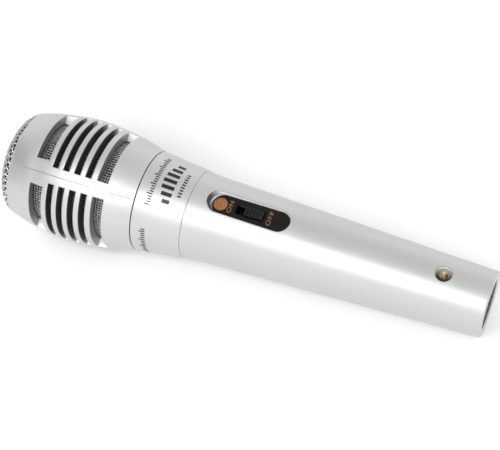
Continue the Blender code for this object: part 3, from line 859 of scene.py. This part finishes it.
def build_cage():
    columns = [(g, kind, share) for g in range(SLOT_GROUPS) for kind, share in cage_columns()]
    width = len(columns)
    rows = cage_profile()
    verts = []
    for index, (r, z, _) in enumerate(rows):
        outside = index < next(i for i, row in enumerate(rows) if row[1] > CAGE_LIP_Z)
        for g, kind, share in columns:
            sunk = GROOVE_DEPTH if kind == "seam" and outside and GROOVE_Z[0] < z < GROOVE_Z[1] else 0.0
            a = CAGE_TURN + g * 2 * pi / SLOT_GROUPS + column_angle(kind, share, slot_angle(z))
            verts.append(((r - sunk) * cos(a), (r - sunk) * sin(a), z))

    def in_slot(column):
        return columns[column][1] == "slot" and columns[(column + 1) % width][1] == "slot"

    def is_open(row, column):
        """Whether a cell lies inside a slot."""
        here, there = rows[row], rows[(row + 1) % len(rows)]
        if not here[2] or here[2] != there[2] or not in_slot(column):
            return False
        return any(low < (here[1] + there[1]) / 2 < high for low, high, _ in SLOTS)

    faces = [face for index, face in enumerate(ring_faces(len(rows), width))
             if not is_open(*divmod(index, width))]
    heights = cage_heights()
    at = {(side, round(z, 4)): i for i, (_, z, side) in enumerate(rows) if side}
    rims = set()
    for low, high, _ in SLOTS:
        inside = [round(z, 4) for z in heights if low - 0.001 < z < high + 0.001]
        edges = []
        for j in range(width):
            if in_slot(j):
                edges += [((z, j), (z, (j + 1) % width)) for z in (inside[0], inside[-1])]
            if columns[j][1] == "slot" and abs(columns[j][2]) == 1:
                edges += [((z, j), (following, j)) for z, following in zip(inside, inside[1:])]
        for (z0, j), (z1, k) in edges:
            outer = (at["outer", z0] * width + j, at["outer", z1] * width + k)
            inner = (at["inner", z1] * width + k, at["inner", z0] * width + j)
            faces.append(outer + inner)
            rims.add(frozenset(outer))
            rims.add(frozenset(inner))

    def weigh_rims(bm):
        weight = bm.edges.layers.float.new("bevel_weight_edge")
        for edge in bm.edges:
            if frozenset(v.index for v in edge.verts) in rims:
                edge[weight] = 1.0
        outwards(bm)

    cage = linked("slotted_cage", new_mesh("cage", verts, faces, weigh_rims))
    modify(cage, "BEVEL", limit_method="WEIGHT", width=0.3 * MM, segments=2)
    finish_piece(cage, HEAD_PAINT, "head", ["grille_cage"], MIC)
    modify(cage, "WEIGHTED_NORMAL", keep_sharp=True)
    paint(cage, (NARROW_SLOT_SHADE, WIDE_SLOT_SHADE, HIGHLIGHT_PAINT), slot_look)


build_cage()

# ---- woven wire ----
SLEEVE_R = 21.0
SLEEVE_Z = (158.8, 198.2)
SLEEVE_WIRES = 112
SLEEVE_RINGS = 34
SLEEVE_WIRE_R = 0.21
SLEEVE_WEAVE = 0.2


def build_sleeve():
    pitch = (SLEEVE_Z[1] - SLEEVE_Z[0]) / (SLEEVE_RINGS - 1)

    def at(wire, ring, side):
        a = 2 * pi * wire / SLEEVE_WIRES
        outward = Vector((cos(a), sin(a), 0))
        lift = SLEEVE_R + side * SLEEVE_WEAVE * cos(pi * (wire + ring))
        return outward * lift + Vector((0, 0, SLEEVE_Z[0] + pitch * ring)), outward

    rings = [[at(wire, ring, 1) for wire in range(SLEEVE_WIRES)] for ring in range(SLEEVE_RINGS)]
    uprights = [[at(wire, ring, -1) for ring in range(SLEEVE_RINGS)] for wire in range(SLEEVE_WIRES)]
    verts, faces = tubes(rings, SLEEVE_WIRE_R, 5, closed=True)
    more_verts, more_faces = tubes(uprights, SLEEVE_WIRE_R, 5)
    base = len(verts)
    faces += [tuple(base + i for i in face) for face in more_faces]
    add_piece("woven_sleeve", verts + more_verts, faces, SLEEVE_WIRE, "head", ["mesh_sleeve"],
              sharp=80)


DOME_R = 22.25
DOME_BASE_Z = 206.4
DOME_RISE = 8.15
DOME_FULLNESS = 0.88  # 1 is an ellipse, less is squarer
SKIRT_LOW_Z = 201.2
DOME_PITCH = 2.05
DOME_WIRE_R = 0.35
DOME_WEAVE = 0.31


def dome_meridian():
    """(radius, height, outward normal's radius and height parts, arc length) from tip to skirt."""
    count = 160
    stations = []
    length = 0.0
    for i in range(count + 1):
        a = pi / 2 * i / count
        r, z = DOME_R * sin(a), DOME_BASE_Z + DOME_RISE * abs(cos(a)) ** DOME_FULLNESS
        steep = DOME_R * max(cos(a), 0.001) ** (2 - DOME_FULLNESS)
        normal = Vector((DOME_RISE * sin(a) * DOME_FULLNESS, steep)).normalized()
        if stations:
            length += hypot(r - stations[-1][0], z - stations[-1][1])
        stations.append((r, z, normal, length))
    drop = DOME_BASE_Z - SKIRT_LOW_Z
    stations.append((DOME_R, SKIRT_LOW_Z, Vector((1, 0)), length + drop))
    return stations


def build_dome():
    stations = dome_meridian()
    lengths = [s[3] for s in stations]
    reach = lengths[-1]

    def on_dome(u, v, lift):
        distance = min(hypot(u, v), reach)
        i = next(k for k in range(len(lengths) - 1) if distance <= lengths[k + 1])
        t = (distance - lengths[i]) / (lengths[i + 1] - lengths[i])
        r = stations[i][0] + (stations[i + 1][0] - stations[i][0]) * t
        z = stations[i][1] + (stations[i + 1][1] - stations[i][1]) * t
        normal = stations[i][2].lerp(stations[i + 1][2], t).normalized()
        a = atan2(v, u)
        outward = Vector((normal.x * cos(a), normal.x * sin(a), normal.y))
        return Vector((r * cos(a), r * sin(a), z)) + outward * lift, outward

    paths = []
    count = int(reach / DOME_PITCH)
    for k in range(-count, count + 1):
        fixed = k * DOME_PITCH
        limit = (reach ** 2 - fixed ** 2) ** 0.5
        steps = max(2, round(limit / DOME_PITCH * 3))
        for side in (1, -1):
            path = []
            for i in range(-steps, steps + 1):
                free = limit * i / steps
                lift = side * DOME_WEAVE * cos(pi * (k + free / DOME_PITCH))
                u, v = (fixed, free) if side > 0 else (free, fixed)
                path.append(on_dome(u, v, lift))
            paths.append(path)
    verts, faces = tubes(paths, DOME_WIRE_R, 6)
    add_piece("woven_dome", verts, faces, WIRE, "head", ["mesh_dome"], sharp=80)


build_sleeve()
build_dome()


def foam_profile():
    arc = [(21.2 * sin(pi / 2 * i / 14), 206.0 + 7.4 * cos(pi / 2 * i / 14)) for i in range(15)]
    inner = [(17.0 * sin(pi / 2 * i / 10), 202.0 + 6.6 * cos(pi / 2 * i / 10)) for i in range(11)]
    sides = [(21.3, 201.5), (20.9, 200.7), (20.35, 200.2)]
    sides += [(20.35, 200.2 - 3.4 * i) for i in range(1, 12)]
    sides += [(20.2, 160.0), (19.8, 159.3), (17.4, 159.3), (17.0, 160.0)]
    sides += [(17.0, 160.0 + 3.5 * i) for i in range(1, 12)]
    return arc + sides + inner[::-1]


foam = add_piece("foam_liner", *revolve(foam_profile(), 96, closed=False), FOAM, "head",
                 ["foam_windscreen"])

# ---- switch ----
FACE_UP = SWITCH @ Matrix(((0, 0, 1, 0), (1, 0, 0, 0), (0, 1, 0, 0), (0, 0, 0, 1)))


def mesh_of(curve, stretch, shift):
    """The mesh that a curve makes, stretched along X and then moved."""
    def place(bm):
        merge(bm)
        bmesh.ops.scale(bm, vec=(stretch, 1, 1), verts=bm.verts)
        bmesh.ops.translate(bm, vec=shift, verts=bm.verts)

    maker = linked(curve.name + "_maker", curve)
    mesh = evaluated_mesh(maker)
    bpy.data.objects.remove(maker)
    mesh.name = curve.name
    return edit_mesh(mesh, place)


def flat_piece(name, outlines, low, high, edge, mat, replaced):
    """A flat plate between two heights over the switch, from outlines with rounded edges."""
    curve = put(bpy.data.curves.new(name, "CURVE"), dimensions="2D", fill_mode="BOTH",
                extrude=((high - low) / 2 - edge) * MM, bevel_depth=edge * MM, bevel_resolution=2,
                offset=-edge * MM)
    for outline in outlines:
        spline = curve.splines.new("POLY")
        spline.points.add(len(outline) - 1)
        for point, (y, z) in zip(spline.points, outline):
            point.co = (y * MM, z * MM, 0, 1)
        spline.use_cyclic_u = True
    mesh = mesh_of(curve, 1.0, (0, 0, (low + high) / 2 * MM))
    finish_piece(linked(name, mesh), mat, "handle", replaced, FACE_UP)


slot_outline = rounded([(y, z, 0.35) for y, z in box_outline(*SLOT_SIZE, SLOT_CENTRE)], steps=3)
PLATE_PLAY = 0.6
flat_piece("plate",
           [stadium(PLATE_WIDTH - PLATE_PLAY, PLATE_LENGTH - PLATE_PLAY - PLATE_SHORT, -PLATE_SHORT / 2),
            slot_outline, circle(DOT_R + 0.08, 48, (0.0, DOT_Z))],
           -2.0, -1.0, 0.12, BLACK, ["switch_plate"])
flat_piece("orange_dot", [circle(DOT_R, 48, (0.0, DOT_Z))], -1.5, -0.93, 0.1, ORANGE, ["indicator_dot"])


LETTER_SIZE = 2.6
LETTER_STRETCH = 1.4


def label(name, words, z):
    """Generic ON or OFF in printed letters across the plate, read with the head upwards."""
    curve = put(bpy.data.curves.new(name, "FONT"), body=words, size=LETTER_SIZE * MM, align_x="CENTER",
                align_y="CENTER", extrude=0.02 * MM, space_character=1.12)
    mesh = mesh_of(curve, LETTER_STRETCH, (0, z * MM, -0.975 * MM))
    finish_piece(linked(name, mesh), ORANGE_INK, "handle", (), FACE_UP)


label("label_on", "ON", 8.1)
label("label_off", "OFF", -9.4)


def build_knob():
    """The ribbed cap over its stem, at the tail end of its slot."""
    half = KNOB_LENGTH / 2
    centre = SLOT_CENTRE - KNOB_TRAVEL / 2
    ribs = 5
    pitch = (KNOB_LENGTH - 1.0) / ribs
    outline = [(-half, -2.25), (-1.9, -2.25), (-1.9, -4.0), (1.9, -4.0), (1.9, -2.25), (half, -2.25)]
    outline.append((half, -0.25))
    for i in range(ribs):
        start = half - 0.5 - pitch * i
        outline += [(start - 0.05, 0.27), (start - pitch * 0.42, 0.27), (start - pitch * 0.58, -0.25),
                    (start - pitch * 0.9, -0.25)]
    outline.append((-half, -0.25))
    verts = [(x, side * 2.05, centre + z) for side in (-1, 1) for z, x in outline]
    knob = add_piece("ribbed_knob", verts, between_loops(len(outline)), KNOB, "switch", ["switch_knob"],
                     place=SWITCH)
    modify(knob, "BEVEL", width=0.1 * MM, segments=2, limit_method="ANGLE", angle_limit=radians(40))
    knob.data.shade_smooth()
    modify(knob, "WEIGHTED_NORMAL", keep_sharp=True)


build_knob()

# ---- tail: screw, socket insert and pins ----
SCREW_FRAME = MIC @ Matrix.Translation((0, 0, SCREW_Z * MM)) @ Matrix.Rotation(pi / 2, 4, "Y")


def build_screw():
    corners = [(0.0, 13.2, 0), (1.5, 13.12, 0.9), (3.15, 12.5, 0.4), (3.15, 12.05, 0.12),
               (1.3, 12.05, 0.1)]
    for i in range(6):
        z = 11.6 - 0.6 * i
        corners += [(1.3, z, 0.02), (0.98, z - 0.3, 0.02)]
    corners += [(0.6, 7.9, 0), (0.0, 7.9, 0)]
    screw = add_piece("cross_head_screw", *revolve(rounded(corners, False, 3), 48, False), SCREW_PLATE,
                      "handle", ["tail_screw"], place=SCREW_FRAME)
    arm, half = 1.95, 0.45
    low = [(half, half), (half, arm), (-half, arm), (-half, half), (-arm, half), (-arm, -half),
           (-half, -half), (-half, -arm), (half, -arm), (half, -half), (arm, -half), (arm, half)]
    verts = []
    for z, long, wide in ((14.1, 1.35, 2.0), (12.15, 0.4, 0.5)):
        verts += [(a * (long if abs(a) > 1 else wide), b * (long if abs(b) > 1 else wide), z)
                  for a, b in low]
    cut_away(screw, verts, between_loops(len(low)))
    screw.data.set_sharp_from_angle(angle=radians(35))
    # Painted shade on the outer part of the screw's head.
    paint(screw, (SCREW_HEAD_SHADE,), lambda centre, normal: SCREW_HEAD_SHADE if centre.xy.length > 2.0 else None)


build_screw()
PINS = [(PIN_CIRCLE * cos(UP_ANGLE + radians(a)), PIN_CIRCLE * sin(UP_ANGLE + radians(a)))
        for a in (55.0, -55.0, 180.0)]
insert = turned_piece("socket_insert",
                      [(0.0, 25.0, 0), (10.95, 25.0, 0.4), (10.95, 16.6, 0.3), (10.4, 16.15, 0.2),
                       (8.6, 16.15, 0.1), (8.4, 16.6, 0.1), (7.7, 16.6, 0.1), (7.5, 16.15, 0.1),
                       (0.0, 16.15, 0)],
                      INSERT_BLACK, "handle", ["xlr_insert"], closed=False)
for px, py in PINS:
    hole = [(px + x, py + y, z) for z in (14.0, 27.0) for x, y in circle(1.33, 32)]
    cut_away(insert, hole, between_loops(32))
cut_away(insert, *prism(circle(1.45, 24, (0.0, SCREW_Z)), 7.4, 12.0))
insert.data.set_sharp_from_angle(angle=radians(38))
for number, (px, py) in enumerate(PINS, 1):
    turned_piece("contact_pin_%d" % number,
                 [(0.0, 27.5, 0), (1.18, 27.5, 0.1), (1.18, 15.0, 0), (1.18, 4.2, 0), (1.1, 3.3, 0.5),
                  (0.5, 3.02, 0.3), (0.0, 3.0, 0)],
                 PIN_METAL, "handle", ["xlr_pin_%d" % number], closed=False, steps=32,
                 place=MIC @ Matrix.Translation((px * MM, py * MM, 0)))

# ---- what the CAD model already shows right ----
CAD_LOOKS = {
    STEEL: "ballast_tube dome_retaining_ring pole_cup top_plate",
    DARK_STEEL: "switch_body",
    BRASS: "head_thread_insert ground_tag capsule_terminal_hot capsule_terminal_cold",
    NICKEL: "switch_terminal_1 switch_terminal_2 switch_terminal_3",
    RUBBER: "shock_mount",
    BASKET: "capsule_housing capsule_cap",
    SINTERED: "magnet",
    COPPER: "voice_coil",
    FILM: "diaphragm_dome diaphragm_surround",
    BASKET_SLIDER: "switch_slider",
    RED_WIRE: "capsule_lead_hot socket_lead",
    BLACK_WIRE: "capsule_lead_cold",
}
for look, names in CAD_LOOKS.items():
    for name in names.split():
        node = frame["nodes"][name]
        node.data.materials.clear()
        node.data.materials.append(look)

# ---- camera, light and floor ----
CAMERA_TARGET = Vector((0.00199, 0.00295, 0.02152))
CAMERA_DISTANCE = 0.58993
CAMERA_AZIMUTH = radians(27.39)
CAMERA_ELEVATION = radians(48.36)
CAMERA_ROLL = radians(6.79)
CAMERA_LENS = 100.8


camera_data = put(bpy.data.cameras.new("camera"), lens=CAMERA_LENS, sensor_width=36.0,
                  clip_start=0.01)
camera = linked("camera", camera_data)
away = Vector((sin(CAMERA_AZIMUTH) * cos(CAMERA_ELEVATION), -cos(CAMERA_AZIMUTH) * cos(CAMERA_ELEVATION),
               sin(CAMERA_ELEVATION)))
facing_target = away.to_track_quat("Z", "Y").to_matrix().to_4x4() @ Matrix.Rotation(-CAMERA_ROLL, 4, "Z")
camera.matrix_world = Matrix.Translation(CAMERA_TARGET + away * CAMERA_DISTANCE) @ facing_target
bpy.context.scene.camera = camera


def beside(away, across, along):
    """A lamp's place from the microphone's middle: towards the camera, up across it, along it."""
    middle = MIC @ Vector((0, 0, 105 * MM))
    to_camera = camera.matrix_world.translation - middle
    near = (to_camera - AXIS * to_camera.dot(AXIS)).normalized()
    over = near.cross(AXIS)
    if over.z < 0:
        over = -over
    spot = middle + near * (away * cos(across)) + over * (away * sin(across)) + AXIS * along
    back = (spot - middle - AXIS * along * 0.6).normalized()
    side = (AXIS - back * AXIS.dot(back)).normalized()
    return Matrix.Translation(spot) @ Matrix((side, back.cross(side), back)).transposed().to_4x4()


key = put(bpy.data.lights.new("key_softbox", "AREA"), shape="RECTANGLE", size=0.66, size_y=0.46,
          energy=5.35)
linked("key_softbox", key).matrix_world = beside(0.9, radians(-5.0), 0.09)

WALLS = 1.3
CEILING = 0.71
CURTAIN = Vector((-0.92, -0.3, 0.27)).normalized()
CURTAIN_REACH = (0.74, 0.91)
CURTAIN_HEM = (0.15, 0.2)
CURTAIN_LOW = 0.6        # how dark the curtain still is below its hem
CEILING_EDGE = (0.4, 0.9)


def studio_world():
    """Even white walls, a dimmer ceiling, and a black curtain hung up beyond the head."""
    world = bpy.data.worlds.new("studio")
    world.use_nodes = True
    room = Nodes(world.node_tree)
    direction = room.add("TexCoord", "Generated")
    height = room.add("SeparateXYZ", "Z", {"Vector": direction})
    facing = room.add("VectorMath", "Value", {0: direction, 1: CURTAIN}, operation="DOT_PRODUCT")
    walls = room.between(height, WALLS, CEILING, *CEILING_EDGE, "SMOOTHSTEP")
    near = room.between(facing, 0.0, 1.0, *CURTAIN_REACH, "SMOOTHSTEP")
    above = room.between(height, CURTAIN_LOW, 1.0, *CURTAIN_HEM, "SMOOTHSTEP")
    seen = room.sums("SUBTRACT", 1.0, room.sums("MULTIPLY", near, above))
    background = world.node_tree.nodes["Background"].inputs
    background["Color"].default_value = (1, 1, 1, 1)
    world.node_tree.links.new(room.sums("MULTIPLY", walls, seen), background["Strength"])
    bpy.context.scene.world = world


studio_world()
bpy.context.scene.view_settings.view_transform = "Standard"

bpy.ops.mesh.primitive_grid_add(x_subdivisions=8, y_subdivisions=8, size=12.0)
floor = bpy.context.object
floor.name = "studio_floor"
floor_look = Finish("floor_white", (0.93, 0.93, 0.93), 0.7, Emission_Color=(1, 1, 1, 1),
                    Emission_Strength=0.05)
floor_look.blend(floor_look.noise(0.01, 2.0), (0.9, 0.9, 0.9), (0.92, 0.92, 0.92))
floor.data.materials.append(floor_look.mat)

seat_pieces()
